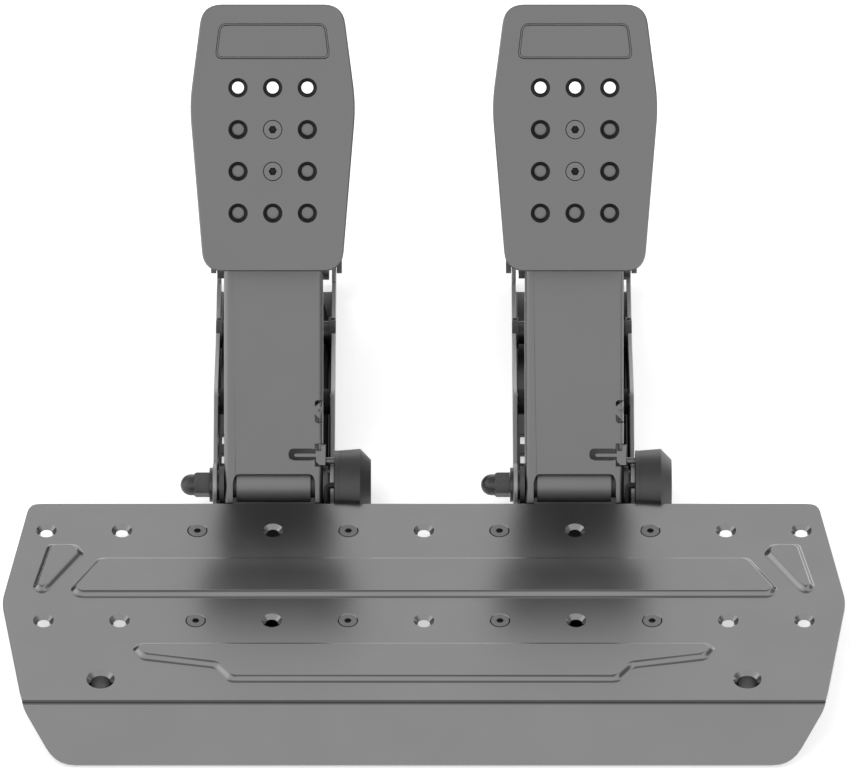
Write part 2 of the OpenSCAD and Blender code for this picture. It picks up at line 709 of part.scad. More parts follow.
// Face bracket: a channel that stands off the arm and straddles its cheeks
module face_bracket(hand) {
    outside = 2 * (leg_in + leg_t);
    color(dark_steel) at_module(hand) at_arm() difference() {
        intersection() {
            translate([0, bracket_to, 0]) rotate([90, 0, 0]) linear_extrude(bracket_to - bracket_from) polygon([
                for (q = channel(outside, leg_t, leg_t + 1.5, 60)) [q[0], face_n - face_t - 0.05 - q[1]]
            ]);
            side(-outside, outside) polygon(rounded([
                [bracket_from, face_n], [bracket_from, 2], [bracket_from + 12, -7], [bracket_to - 8, -7],
                [bracket_to, 4], [bracket_to, face_n]
            ], 4));
        }
        for (s = bracket_screw_s) translate([0, s, 0]) cyl_x(5 + 2 * run_gap, -outside, outside);
        for (i = [1, 2]) translate([0, face_low + face_row_low + i * face_pitch_s, web_n])
            cylinder(d = 5 + 2 * run_gap, h = face_stand);
    }
}
module bracket_screws(hand) {
    color(black_steel) at_module(hand) at_arm() for (m = [0, 1]) mirror([m, 0, 0]) for (s = bracket_screw_s)
        translate([0, s, 0]) difference() {
            union() {
                cyl_x(5, arm_w / 2 - arm_t - 6, leg_in + leg_t + 1);
                cyl_x(9, leg_in + leg_t + 0.05, leg_in + leg_t + 2.8);
                hex_x(8, arm_w / 2 - arm_t - 4.1, arm_w / 2 - arm_t - 0.1);
            }
            hex_x(3, leg_in + leg_t + 1, leg_in + leg_t + 5);
        }
}
face_outline = [
    [-face_low_w / 2, face_low], [face_low_w / 2, face_low], [face_mid_w / 2, face_low + face_mid_s],
    [face_top_w / 2, face_low + face_len], [-face_top_w / 2, face_low + face_len],
    [-face_mid_w / 2, face_low + face_mid_s]
];
badge_outline = [
    [-26.6, face_low + 98.6], [26.6, face_low + 98.6], [24.6, face_low + 114.9], [-24.6, face_low + 114.9]
];
module face_plate(hand) {
    edge = 0.6;
    groove = 0.8;
    color(dark_steel) at_module(hand) at_arm() difference() {
        union() {
            translate([0, 0, face_n - face_t]) linear_extrude(face_t - edge) polygon(rounded(face_outline, 9, 7));
            stacked(
                [rounded(face_outline, 9, 7), rounded(inset(face_outline, edge), 9 - edge, 7)],
                [face_n - edge - 0.01, face_n]
            );
        }
        for (i = [-1:1]) for (j = [0:3])
            translate([i * face_pitch_x, face_low + face_row_low + j * face_pitch_s, face_n])
                csk_hole(5.5, face_csk_d, face_t);
        translate([0, 0, face_n - 0.4]) linear_extrude(past) difference() {
            polygon(rounded(badge_outline, 3.4));
            polygon(rounded(inset(badge_outline, groove), 2.8));
        }
    }
}
module face_screws(hand) {
    color(black_steel) at_module(hand) at_arm() for (i = [1, 2])
        translate([0, face_low + face_row_low + i * face_pitch_s, face_n]) {
            csk_screw(5, face_csk_d - 0.4, 13.5, 3);
            translate([0, 0, -face_t - 0.05 - leg_t - 0.05 - 4]) difference() {
                cylinder(d = 8 / cos(30), h = 4, $fn = 6);
                translate([0, 0, -past]) cylinder(d = 5 + 2 * run_gap, h = 6);
            }
        }
}

// Sensor at the right end of the axle
module sensor_base(hand) {
    x0 = frame_w / 2 + 0.15;
    slot_half = pin_d / 2 + 0.6;
    slot_from = arm_angle + lever_turn;
    slot_to = slot_from - throttle_travel;
    color(black_plastic) at_module(hand) at_pivot() difference() {
        cyl_x(2 * sensor_base_r, x0, x0 + base_t);
        cyl_x(axle_d + 0.8, 0, frame_w);
        // Curved slot that the lever pin sweeps
        side(0, frame_w) polygon(concat(
            arc([0, 0], lever_r + slot_half, slot_to, slot_from, 6),
            arc(lever_r * [cos(slot_from), sin(slot_from)], slot_half, slot_from, slot_from + 180, 8),
            arc([0, 0], lever_r - slot_half, slot_from, slot_to, 6),
            arc(lever_r * [cos(slot_to), sin(slot_to)], slot_half, slot_to + 180, slot_to + 360, 8)
        ));
        rotate([lead_turn, 0, 0]) translate([0, lead_r, 0]) cyl_x(lead_d + 2 * seat_gap, 0, frame_w);
        for (a = sensor_screw_turns) rotate([a, 0, 0]) translate([0, sensor_screw_r, 0]) {
            translate([x0 + base_t, 0, 0]) rotate([0, 90, 0]) csk_hole(3 + 2 * run_gap, 6, base_t);
        }
    }
}
module sensor_screws() {
    x1 = frame_w / 2 + 0.15 + base_t;
    color(black_steel) both() at_pivot() for (a = sensor_screw_turns) rotate([a, 0, 0]) translate([0, sensor_screw_r, 0])
        translate([x1, 0, 0]) rotate([0, 90, 0]) csk_screw(3, 5.6, x1 - wall_in - 0.1, 2);
}
module sensor_housing(hand) {
    wall = 1.9;
    x0 = housing_x + 0.05;
    cone_end = housing_end - sensor_chamfer;
    color(black_plastic) at_module(hand) at_pivot() difference() {
        union() {
            translate([x0, 0, 0]) rotate([0, 90, 0])
                cylinder(r1 = sensor_base_r, r2 = sensor_r, h = cone_end - x0, $fn = 64);
            translate([cone_end - 0.01, 0, 0]) rotate([0, 90, 0])
                cylinder(r1 = sensor_r, r2 = sensor_r - sensor_chamfer, h = sensor_chamfer, $fn = 64);
        }
        cyl_x(2 * (sensor_base_r - wall), 0, board_x + board_t);
        cyl_x(2 * (sensor_base_r - wall - 1.2), 0, housing_end - 3.6);
    }
}
module sensor_board(hand) {
    color(board_green) at_module(hand) at_pivot() {
        cyl_x(2 * (sensor_base_r - 2.2), board_x, board_x + board_t);
        translate([board_x + board_t - 0.1, -3, -3]) cube([1.5, 6, 6]);
    }
}
module sensor_lever(hand) {
    hub = housing_x + 0.2;
    leaf = arm_w / 2 + 0.15;
    leaf_t = 1.2;
    color(bright_steel) at_module(hand) at_arm() {
        difference() {
            union() {
                cyl_x(17, hub, hub + 2);
                rotate([lever_turn, 0, 0]) {
                    translate([hub, 0, -2]) cube([2, lever_r, 4]);
                    translate([0, lever_r, 0]) cyl_x(pin_d, leaf + leaf_t / 2, hub + 2);
                }
            }
            cyl_x(axle_d + 2 * run_gap, 0, 60);
        }
        // Leaf beside the cheek, folded over the arm's edge into the finger
        difference() {
            side(leaf, leaf + leaf_t) polygon([
                [lever_low, 1.6], [13.6, 1.2], [15, 4.4], [lever_high, 6], [lever_high, web_n + 0.1],
                [lever_low, web_n + 0.1]
            ]);
            cyl_x(bush_flange_d + 0.8, 0, 60);
        }
        translate([0, 0, web_n - arm_t]) linear_extrude(arm_t + 0.1) polygon([
            [leaf + 0.5, lever_low], [leaf + 0.5, lever_high], [22.2, lever_high], [22.2, 16.6], [20.1, 16.6],
            [20.1, lever_high], [19.7, lever_high], [19.7, 15.3], [10.3, 15.3], [9.6, 14.7], [9.6, 14.1],
            [10.3, 13.5], [19.7, 13.5], [19.7, lever_low + 2], [21.5, lever_low]
        ]);
    }
}
module magnet_ring(hand) {
    x0 = housing_x + 2.25;
    color(bright_steel) at_module(hand) at_pivot() difference() {
        cyl_x(17.4, x0, x0 + 2);
        cyl_x(14, 0, 60);
    }
}
lead_in_y = pivot_y + lead_r * cos(lead_turn);
lead_in_z = pivot_z + lead_r * sin(lead_turn);
lead_x = wall_in - 2.4;
lead_route = [
    [board_x - 0.05, lead_in_y, lead_in_z], [housing_x + 3.5, lead_in_y, lead_in_z],
    [wall_in + 2.7, lead_in_y, lead_in_z], [wall_in + 0.5, lead_in_y, lead_in_z],
    [wall_in - 1.4, lead_in_y - 0.3, lead_in_z - 0.5], [wall_in - 1.7, 27.1, 21.6],
    [wall_in - 1.7, 26, 18], [wall_in - 1.7, 25.6, 13], [wall_in - 1.8, 26.7, 8],
    [wall_in - 2.1, 30, 4.8], [lead_x, 36, 3.5],
    [lead_x, 50, 3.4], [lead_x, 90, 3.4],
    [lead_x, 130, 3.4], [lead_x, 160, 3.4], [23.4, 172, 3.8], [21.5, 180, 6.5], [18, 183.5, 13],
    [14, 184, 20], [port_x + 2, 184.2, 25.5], [port_x + 2, 184.6, port_z + 3.6], [port_x + 2, 186.3, port_z + 5.7],
    [port_x + 2, 187.7, port_z + 6], [port_x + 2, frame_end + seat_gap - port_len - 0.05, port_z + 6]
];
// A smooth tube through the points of a route
function spline(p, i, t) = let (
    a = p[max(i - 1, 0)], b = p[i], c = p[i + 1], d = p[min(i + 2, len(p) - 1)],
    m0 = (c - a) / 2, m1 = (d - b) / 2
) (2 * t * t * t - 3 * t * t + 1) * b + (t * t * t - 2 * t * t + t) * m0
    + (-2 * t * t * t + 3 * t * t) * c + (t * t * t - t * t) * m1;
function path_of(p, steps) = concat(
    [for (i = [0:len(p) - 2]) for (j = [0:steps - 1]) spline(p, i, j / steps)], [p[len(p) - 1]]
);
function tangent(q, i) = unit(q[min(i + 1, len(q) - 1)] - q[max(i - 1, 0)]);
// Turns a ring's side direction along the path so that the tube doesn't twist
function carried(q, i, u) = i >= len(q) ? [] : let (
    t = tangent(q, i), v = unit(u - (u * t) * t)
) concat([[v, cross(t, v)]], carried(q, i + 1, v));
module tube(q, d, sides, up) {
    rings = carried(q, 0, up);
    k = len(q);
    polyhedron(
        points = [for (i = [0:k - 1]) for (j = [0:sides - 1])
            q[i] + d / 2 * (cos(360 * j / sides) * rings[i][0] + sin(360 * j / sides) * rings[i][1])],
        faces = concat(
            [[for (j = [0:sides - 1]) j]],
            [[for (j = [sides - 1:-1:0]) (k - 1) * sides + j]],
            [for (i = [0:k - 2]) for (j = [0:sides - 1]) let (n = (j + 1) % sides)
                [i * sides + j, (i + 1) * sides + j, i * sides + n]],
            [for (i = [0:k - 2]) for (j = [0:sides - 1]) let (n = (j + 1) % sides)
                [i * sides + n, (i + 1) * sides + j, (i + 1) * sides + n]]
        )
    );
}
module sensor_lead(hand) {
    color(black_plastic) at_module(hand) tube(path_of(lead_route, 3), lead_d, 8, [0, 0, 1]);
}

// Strut: bolt through the arm, rod with its cap, tube with its gland, and the spring round them
module strut_bolt(hand) {
    color(bright_steel) at_module(hand) at_arm() translate([0, bolt_s, -bolt_back]) {
        difference() {
            union() {
                cyl_x(axle_d, -arm_w / 2 - 3, arm_w / 2 + 1);
                cyl_x(14, arm_w / 2 + 0.1, arm_w / 2 + 2.9);
            }
            hex_x(5, arm_w / 2 + 1.2, arm_w / 2 + 5);
        }
        difference() {
            hex_x(12.4, -arm_w / 2 - 2.9, -arm_w / 2 - 0.1);
            cyl_x(axle_d + 2 * run_gap, -arm_w, 0);
        }
        for (s = [0, 1]) mirror([s, 0, 0]) difference() {
            cyl_x(12, eye_w / 2 + seat_gap, arm_w / 2 - arm_t - 0.1);
            cyl_x(axle_d + 2 * run_gap, 0, arm_w);
        }
    }
}
module strut_tube(hand) {
    color(black_steel) at_module(hand) at_strut() difference() {
        union() {
            cyl_x(2 * eye_r, -eye_w / 2, eye_w / 2);
            translate([0, 0, 4]) cylinder(d = tube_d, h = tube_end - 4);
            translate([0, 0, seat_r0]) cylinder(d = seat_d, h = seat_t);
        }
        cyl_x(axle_d + 2 * run_gap, -eye_w, eye_w);
        translate([0, 0, eye_r + 2]) cylinder(d = tube_bore, h = tube_end);
    }
}
module strut_gland(hand) {
    color(bright_steel) at_module(hand) at_strut() difference() {
        translate([0, 0, tube_end + 0.05]) cylinder(d = tube_d, h = gland_len - 0.05);
        cylinder(d = rod_d + 2 * rod_play, h = strut_rest);
    }
}
module strut_rod(hand) {
    piston_to = tube_end - seat_gap;
    color(bright_steel) at_module(hand) at_strut() difference() {
        union() {
            translate([0, 0, strut_rest]) cyl_x(2 * eye_r, -eye_w / 2, eye_w / 2);
            translate([0, 0, piston_to - 5]) cylinder(d = rod_d, h = strut_rest - eye_r / 2 - piston_to + 5);
            translate([0, 0, piston_to - 5]) cylinder(d = tube_bore - 2 * rod_play, h = 5);
        }
        translate([0, 0, strut_rest]) cyl_x(axle_d + 2 * run_gap, -eye_w, eye_w);
    }
}
module spring_cap(hand) {
    color(black_steel) at_module(hand) at_strut() difference() {
        translate([0, 0, cap_from]) cylinder(d = seat_d, h = seat_t);
        translate([0, 0, cap_from - past]) cylinder(d = rod_d + 2 * run_gap, h = seat_t + 2 * past);
    }
}
module bump_stop(hand) {
    short = hand > 0 ? throttle_short : brake_short;
    len = short - eye_r - seat_t - gland_end - 0.5;
    color(rubber) at_module(hand) at_strut() difference() {
        translate([0, 0, cap_from - 0.05 - len]) cylinder(d = tube_d - 0.6, h = len);
        cylinder(d = rod_d + 2 * run_gap, h = strut_rest);
    }
}

// A coil spring: dead curls at both ends, an even pitch between them
function coil_z(turn, curls, wire, len) = let (
    dead = 1.25,
    low = wire + 0.55,
    high = (len - wire - 2 * dead * low) / (curls - 2 * dead)
) turn < dead ? low * turn
    : turn > curls - dead ? low * dead + high * (curls - 2 * dead) + low * (turn - curls + dead)
    : low * dead + high * (turn - dead);
function coil_points(curls, wire, len) = [
    for (i = [0:8 * curls]) let (turn = i / 8)
        [coil_d / 2 * cos(360 * turn), coil_d / 2 * sin(360 * turn), wire / 2 + coil_z(turn, curls, wire, len)]
];
function coil_gap(q, wire) = min([
    for (i = [0:len(q) - 1]) for (j = [i + 5:min(i + 11, len(q) - 1)]) norm(q[i] - q[j])
]) - wire;
module spring(hand) {
    wire = hand > 0 ? throttle_wire : brake_wire;
    curls = hand > 0 ? throttle_curls : brake_curls;
    q = coil_points(curls, wire, spring_len);
    echo(least_gap_of_spring_to_itself = coil_gap(q, wire));
    color(black_steel) at_module(hand) at_strut() translate([0, 0, spring_from]) tube(q, wire, 6, [1, 0, 0]);
}

base_plate();
front_bushes();
mount_screws();
mount_nuts();
axles();
cap_nuts();
axle_washers();
strut_shafts();
shaft_saddles();
shaft_spacers();
stop_bars();
stop_sleeves();
rear_screws();
sensor_screws();
lead_ports();
frame_part(-1);  // brake_frame
rear_bracket(-1);  // brake_rear_bracket
sensor_base(-1);  // brake_sensor_base
sensor_housing(-1);  // brake_sensor_housing
sensor_board(-1);  // brake_sensor_board
sensor_lead(-1);  // brake_sensor_lead
arm(-1);  // brake_arm
pivot_sleeve(-1);  // brake_pivot_sleeve
pivot_bushes(-1);  // brake_pivot_bushes
face_bracket(-1);  // brake_face_bracket
face_plate(-1);  // brake_face_plate
face_screws(-1);  // brake_face_screws
bracket_screws(-1);  // brake_bracket_screws
sensor_lever(-1);  // brake_sensor_lever
magnet_ring(-1);  // brake_magnet_ring
strut_bolt(-1);  // brake_strut_bolt
strut_tube(-1);  // brake_strut_tube
strut_gland(-1);  // brake_strut_gland
spring(-1);  // brake_spring
strut_rod(-1);  // brake_strut_rod
spring_cap(-1);  // brake_spring_cap
bump_stop(-1);  // brake_bump_stop
frame_part(1);  // throttle_frame
rear_bracket(1);  // throttle_rear_bracket
sensor_base(1);  // throttle_sensor_base
sensor_housing(1);  // throttle_sensor_housing
sensor_board(1);  // throttle_sensor_board
sensor_lead(1);  // throttle_sensor_lead
arm(1);  // throttle_arm
pivot_sleeve(1);  // throttle_pivot_sleeve
pivot_bushes(1);  // throttle_pivot_bushes
face_bracket(1);  // throttle_face_bracket
face_plate(1);  // throttle_face_plate
face_screws(1);  // throttle_face_screws
bracket_screws(1);  // throttle_bracket_screws
sensor_lever(1);  // throttle_sensor_lever
magnet_ring(1);  // throttle_magnet_ring
strut_bolt(1);  // throttle_strut_bolt
strut_tube(1);  // throttle_strut_tube
strut_gland(1);  // throttle_strut_gland
spring(1);  // throttle_spring
strut_rod(1);  // throttle_strut_rod
spring_cap(1);  // throttle_spring_cap
bump_stop(1);  // throttle_bump_stop
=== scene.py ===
"""Dressed model of a sim racing pedal set: two sprung pedals on a bent and drilled base plate."""

import json
import math

import bmesh
import bpy
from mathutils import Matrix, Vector
from mathutils.bvhtree import BVHTree


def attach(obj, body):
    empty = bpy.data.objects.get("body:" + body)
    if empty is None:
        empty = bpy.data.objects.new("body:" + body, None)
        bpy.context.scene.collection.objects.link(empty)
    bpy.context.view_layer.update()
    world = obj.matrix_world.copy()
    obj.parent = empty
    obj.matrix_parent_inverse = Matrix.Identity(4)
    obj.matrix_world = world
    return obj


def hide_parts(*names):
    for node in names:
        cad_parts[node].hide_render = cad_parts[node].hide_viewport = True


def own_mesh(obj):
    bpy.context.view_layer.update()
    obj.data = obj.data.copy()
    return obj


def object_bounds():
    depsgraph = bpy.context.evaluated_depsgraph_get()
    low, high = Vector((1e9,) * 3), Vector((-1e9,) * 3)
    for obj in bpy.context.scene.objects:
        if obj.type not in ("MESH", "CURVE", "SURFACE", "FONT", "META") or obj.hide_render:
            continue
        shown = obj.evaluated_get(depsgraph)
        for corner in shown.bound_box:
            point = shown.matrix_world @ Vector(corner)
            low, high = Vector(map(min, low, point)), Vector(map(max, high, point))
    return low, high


bl_info = {
    "name": "Sim Racing Pedal Set",
    "version": (1, 0, 0),
    "blender": (4, 5, 0),
    "location": "View3D > Sidebar > Pedal Set",
    "description": "Edges, coils, leads and finishes for a pair of sprung pedals on a base plate",
    "category": "Object",
}

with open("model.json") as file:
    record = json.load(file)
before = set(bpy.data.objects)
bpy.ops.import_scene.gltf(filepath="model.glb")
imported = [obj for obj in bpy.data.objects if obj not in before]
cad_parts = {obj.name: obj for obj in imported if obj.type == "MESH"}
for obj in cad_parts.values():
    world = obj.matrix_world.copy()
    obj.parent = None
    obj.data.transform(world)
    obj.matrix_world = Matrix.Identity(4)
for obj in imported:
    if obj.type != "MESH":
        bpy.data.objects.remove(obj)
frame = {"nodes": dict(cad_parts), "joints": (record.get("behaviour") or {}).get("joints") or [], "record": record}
cad_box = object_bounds()
cad_nodes = frame["nodes"]
joints = {j["name"]: j for j in frame["joints"]}

PEDALS = ("brake", "throttle")
# The rear hole row of the base plate lies here along Y, and the plate's top here along Z
REAR_ROW = -0.033513
PLATE_TOP = 0.0225

# Faces whose normals have at least this cosine between them lie in one flat
SAME_FLAT = 0.99999
# Faces whose normals have at least this cosine between them blend at their shared corner
BLENDED = 0.82
# Bends between two faces: folded over, broken with a small edge, shaded smooth, and flat
FOLDED = math.radians(150)
SHARP = math.radians(50)
SMOOTH = math.radians(32)
LEVEL = math.radians(0.05)
# Points that lie closer than this are one, and slimmer faces than this keep their edges
SAME_POINT = 0.000004
SLIMMEST = 0.00002
# A fold is looked for from faces with more area than this, in square metres
LEAST_FOLD = 1e-11
SQUARE_MM = 1e6
EDGE_STEPS = 3
# A bevel's point may lie this share of its width off the sheet
BEVEL_REACH = 0.6


# ---------------------------------------------------------------- sizes and colours


class PedalSetSizes(bpy.types.PropertyGroup):
    """Sizes that a user would change"""

    edge_radius: bpy.props.FloatProperty(
        name="Sheet edge",
        description="Radius of the broken edges of the sheet metal",
        default=0.00035, min=0.0001, max=0.0008, unit="LENGTH", precision=5,
    )
    wire_sides: bpy.props.IntProperty(
        name="Wire sides", description="Sides of the round wire of the springs",
        default=16, min=8, max=24,
    )
    turn_steps: bpy.props.IntProperty(
        name="Steps per turn", description="Steps in each turn of a spring",
        default=40, min=16, max=64,
    )
    lead_sides: bpy.props.IntProperty(
        name="Lead sides", description="Sides of the round sensor leads",
        default=16, min=8, max=24,
    )


class PedalSetColours(bpy.types.PropertyGroup):
    """Colours of the finishes"""

    plate_grey: bpy.props.FloatVectorProperty(
        name="Plate coat", description="Powder coat of the base plate",
        subtype="COLOR", size=3, min=0, max=1, default=(0.26, 0.26, 0.262),
    )
    pedal_grey: bpy.props.FloatVectorProperty(
        name="Pedal coat", description="Powder coat of the arms and face plates",
        subtype="COLOR", size=3, min=0, max=1, default=(0.225, 0.225, 0.227),
    )
    # Partly the frames' own coat, partly painted shade: darker than the pedals' coat so the gaps beside the arms
    # read as deep shadow
    frame_coat_and_shade_grey: bpy.props.FloatVectorProperty(
        name="Frame coat", description="Powder coat of the frames and brackets, darkened as painted shade",
        subtype="COLOR", size=3, min=0, max=1, default=(0.11, 0.11, 0.112),
    )
    # Painted highlight: a lighter grey on the cut upper edges of the frame walls, standing in for the light they
    # catch
    edge_highlight_grey: bpy.props.FloatVectorProperty(
        name="Painted edge highlight", description="Painted highlight on the cut edges of the frame walls",
        subtype="COLOR", size=3, min=0, max=1, default=(0.36, 0.36, 0.362),
    )
    # Painted shade: a near-black grey in the face plates' holes and their screws' rims and sockets, where they lie
    # in shadow
    hole_shade_grey: bpy.props.FloatVectorProperty(
        name="Painted hole shade", description="Painted shade inside the holes of the face plates and round their screws",
        subtype="COLOR", size=3, min=0, max=1, default=(0.02, 0.02, 0.021),
    )
    sleeve_grey: bpy.props.FloatVectorProperty(
        name="Sleeve coat", description="Coat of the sleeves round the pivot axles",
        subtype="COLOR", size=3, min=0, max=1, default=(0.21, 0.21, 0.212),
    )
    black_steel: bpy.props.FloatVectorProperty(
        name="Black steel", description="Blackened screws, tubes and caps",
        subtype="COLOR", size=3, min=0, max=1, default=(0.085, 0.085, 0.087),
    )
    plain_steel: bpy.props.FloatVectorProperty(
        name="Plain steel", description="Axles, washers and rods",
        subtype="COLOR", size=3, min=0, max=1, default=(0.42, 0.42, 0.425),
    )
    plastic: bpy.props.FloatVectorProperty(
        name="Moulded plastic", description="Sensor housings and lead sockets",
        subtype="COLOR", size=3, min=0, max=1, default=(0.014, 0.014, 0.015),
    )
    nylon: bpy.props.FloatVectorProperty(
        name="Nylon", description="Bushes and saddles",
        subtype="COLOR", size=3, min=0, max=1, default=(0.07, 0.07, 0.072),
    )
    rubber: bpy.props.FloatVectorProperty(
        name="Rubber", description="Stop sleeves, bump stops and lead sheaths",
        subtype="COLOR", size=3, min=0, max=1, default=(0.018, 0.018, 0.018),
    )
    board: bpy.props.FloatVectorProperty(
        name="Circuit board", description="Boards inside the sensors",
        subtype="COLOR", size=3, min=0, max=1, default=(0.015, 0.1, 0.045),
    )


def sizes():
    """The sizes kept in the scene"""
    return bpy.context.scene.pedal_set_sizes


def colours():
    """The colours kept in the scene"""
    return bpy.context.scene.pedal_set_colours


# ---------------------------------------------------------------- finishes


def shader_of(name):
    """A new material of that name, with its node tree and its shader"""
    mat = bpy.data.materials.new(name)
    mat.use_nodes = True
    tree = mat.node_tree
    return mat, tree, tree.nodes["Principled BSDF"]


def mottled(tree, shader, colour, spread, size):
    """A colour that wanders slightly over the surface, in patches of that size in metres"""
    where = tree.nodes.new("ShaderNodeTexCoord")
    noise = tree.nodes.new("ShaderNodeTexNoise")
    noise.inputs["Scale"].default_value = 1.0 / size
    noise.inputs["Detail"].default_value = 3.0
    ramp = tree.nodes.new("ShaderNodeValToRGB")
    ramp.color_ramp.elements[0].position = 0.3
    ramp.color_ramp.elements[1].position = 0.7
    ramp.color_ramp.elements[0].color = [c * (1 - spread) for c in colour] + [1]
    ramp.color_ramp.elements[1].color = [min(1, c * (1 + spread)) for c in colour] + [1]
    tree.links.new(where.outputs["Object"], noise.inputs["Vector"])
    tree.links.new(noise.outputs["Fac"], ramp.inputs["Fac"])
    tree.links.new(ramp.outputs["Color"], shader.inputs["Base Color"])
    return where, noise


def roughened(tree, shader, noise, low, high):
    """Roughness that follows the same patches"""
    span = tree.nodes.new("ShaderNodeMapRange")
    span.inputs["To Min"].default_value = low
    span.inputs["To Max"].default_value = high
    tree.links.new(noise.outputs["Fac"], span.inputs["Value"])
    tree.links.new(span.outputs["Result"], shader.inputs["Roughness"])


def grained(tree, shader, where, size, strength, depth, stretch=(1, 1, 1)):
    """A fine grain in the surface, of that size and depth in metres"""
    scale = tree.nodes.new("ShaderNodeMapping")
    scale.inputs["Scale"].default_value = stretch
    grain = tree.nodes.new("ShaderNodeTexNoise")
    grain.inputs["Scale"].default_value = 1.0 / size
    grain.inputs["Detail"].default_value = 2.0
    bump = tree.nodes.new("ShaderNodeBump")
    bump.inputs["Strength"].default_value = strength
    bump.inputs["Distance"].default_value = depth
    tree.links.new(where.outputs["Object"], scale.inputs["Vector"])
    tree.links.new(scale.outputs["Vector"], grain.inputs["Vector"])
    tree.links.new(grain.outputs["Fac"], bump.inputs["Height"])
    tree.links.new(bump.outputs["Normal"], shader.inputs["Normal"])


def satin_coat(name, colour, metal, rough, grain=0.05):
    """Thin satin coat on sheet steel: an even grey with a soft mirror of what is near"""
    mat, tree, shader = shader_of(name)
    where, noise = mottled(tree, shader, colour, spread=0.025, size=0.03)
    roughened(tree, shader, noise, *rough)
    grained(tree, shader, where, size=0.0004, strength=grain, depth=0.00002)
    shader.inputs["Metallic"].default_value = metal
    return mat


def black_finish(name, colour):
    """Blackened steel of screws, tubes and caps"""
    mat, tree, shader = shader_of(name)
    where, noise = mottled(tree, shader, colour, spread=0.12, size=0.004)
    roughened(tree, shader, noise, low=0.3, high=0.44)
    grained(tree, shader, where, size=0.0003, strength=0.1, depth=0.00001)
    shader.inputs["Metallic"].default_value = 0.8
    return mat


def turned_steel(name, colour):
    """Plain steel with faint turning marks across its length"""
    mat, tree, shader = shader_of(name)
    where, noise = mottled(tree, shader, colour, spread=0.08, size=0.003)
    roughened(tree, shader, noise, low=0.26, high=0.38)
    grained(tree, shader, where, size=0.0006, strength=0.15, depth=0.00001, stretch=(12, 1, 1))
    shader.inputs["Metallic"].default_value = 1.0
    return mat


def moulded(name, colour, rough, grain_size=0.0005, grain_depth=0.00001, gloss=1.0):
    """Moulded plastic with a fine spark-eroded grain"""
    mat, tree, shader = shader_of(name)
    where, noise = mottled(tree, shader, colour, spread=0.08, size=0.006)
    roughened(tree, shader, noise, *rough)
    grained(tree, shader, where, size=grain_size, strength=0.2, depth=grain_depth)
    shader.inputs["Specular IOR Level"].default_value = gloss
    return mat


def rubber_finish(name, colour):
    """Matt rubber with a dull bloom"""
    mat, tree, shader = shader_of(name)
    where, noise = mottled(tree, shader, colour, spread=0.2, size=0.004)
    roughened(tree, shader, noise, low=0.62, high=0.8)
    grained(tree, shader, where, size=0.0008, strength=0.25, depth=0.00004)
    shader.inputs["Specular IOR Level"].default_value = 0.35
    return mat


def board_finish(name, colour):
    """Circuit board: a lacquered colour with faint tracks"""
    mat, tree, shader = shader_of(name)
    where = tree.nodes.new("ShaderNodeTexCoord")
    tracks = tree.nodes.new("ShaderNodeTexBrick")
    tracks.inputs["Scale"].default_value = 400
    tracks.inputs["Color1"].default_value = (*colour, 1)
    tracks.inputs["Color2"].default_value = (*[c * 0.8 for c in colour], 1)
    tracks.inputs["Mortar"].default_value = (*[min(1, c * 2.2) for c in colour], 1)
    tree.links.new(where.outputs["Object"], tracks.inputs["Vector"])
    tree.links.new(tracks.outputs["Color"], shader.inputs["Base Color"])
    shader.inputs["Roughness"].default_value = 0.3
    return mat


def finish(slot_name):
    """The material of that slot, made when it is first asked for"""
    name = slot_name + "_finish"
    found = bpy.data.materials.get(name)
    if found:
        return found
    c = colours()
    makers = {
        "plate_steel": lambda: satin_coat(
            name, c.plate_grey, metal=1.0, rough=(0.15, 0.2), grain=0.03
        ),
        "arm_steel": lambda: satin_coat(
            name, c.pedal_grey, metal=1.0, rough=(0.38, 0.46), grain=0.12
        ),
        "sleeve": lambda: satin_coat(
            name, c.sleeve_grey, metal=0.3, rough=(0.4, 0.48), grain=0.12
        ),
        # Darker coat that partly stands in for the shade between the walls and the arms
        "frame_steel": lambda: satin_coat(name, c.frame_coat_and_shade_grey, metal=1.0, rough=(0.34, 0.42)),
        # Painted highlight on the frame walls' upper cut edges
        "painted_edge_highlight": lambda: satin_coat(name, c.edge_highlight_grey, metal=0.6, rough=(0.4, 0.5), grain=0.2),
        # Painted shade for the holes of the face plates and their screws
        "painted_hole_shade": lambda: satin_coat(name, c.hole_shade_grey, metal=0.5, rough=(0.4, 0.5)),
        "coated_screws": lambda: satin_coat(name, c.pedal_grey, metal=1.0, rough=(0.34, 0.42)),
        "lever_steel": lambda: satin_coat(name, c.pedal_grey, metal=1.0, rough=(0.34, 0.42)),
        "dark_nuts": lambda: black_finish(name, c.black_steel),
        "black_steel": lambda: black_finish(name, c.black_steel),
        "zinc_steel": lambda: turned_steel(name, c.plain_steel),
        "spring_steel": lambda: black_finish(name, c.black_steel),
        "black_plastic": lambda: moulded(name, c.plastic, rough=(0.4, 0.48)),
        "grey_nylon": lambda: moulded(name, c.nylon, (0.5, 0.6), 0.0008, 0.00003, gloss=0.5),
        "black_rubber": lambda: rubber_finish(name, c.rubber),
        "lead_sheath": lambda: rubber_finish(name, c.rubber),
        "board_green": lambda: board_finish(name, c.board),
    }
    return makers[slot_name]()


# ---------------------------------------------------------------- shapes


def place(obj, body, slot_name, replaced):
    """Gives a new piece its finish and its body, and hides the plain solids that it stands for"""
    bpy.context.scene.collection.objects.link(obj)
    obj.data.materials.clear()
    obj.data.materials.append(finish(slot_name))
    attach(obj, body)
    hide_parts(*replaced)
    return obj


def narrowest(face):
    """Least width of a face"""
    return 2 * face.calc_area() / max(e.calc_length() for e in face.edges)


def flat_around(seed, taken):
    """The faces that lie in one flat with the seed, whichever way they are turned"""
    flat, waiting = {seed}, [seed]
    while waiting:
        for e in waiting.pop().edges:
            for f in e.link_faces:
                new = f not in flat and f not in taken
                if new and abs(f.normal.dot(seed.normal)) > SAME_FLAT:
                    flat.add(f)
                    waiting.append(f)
    return flat


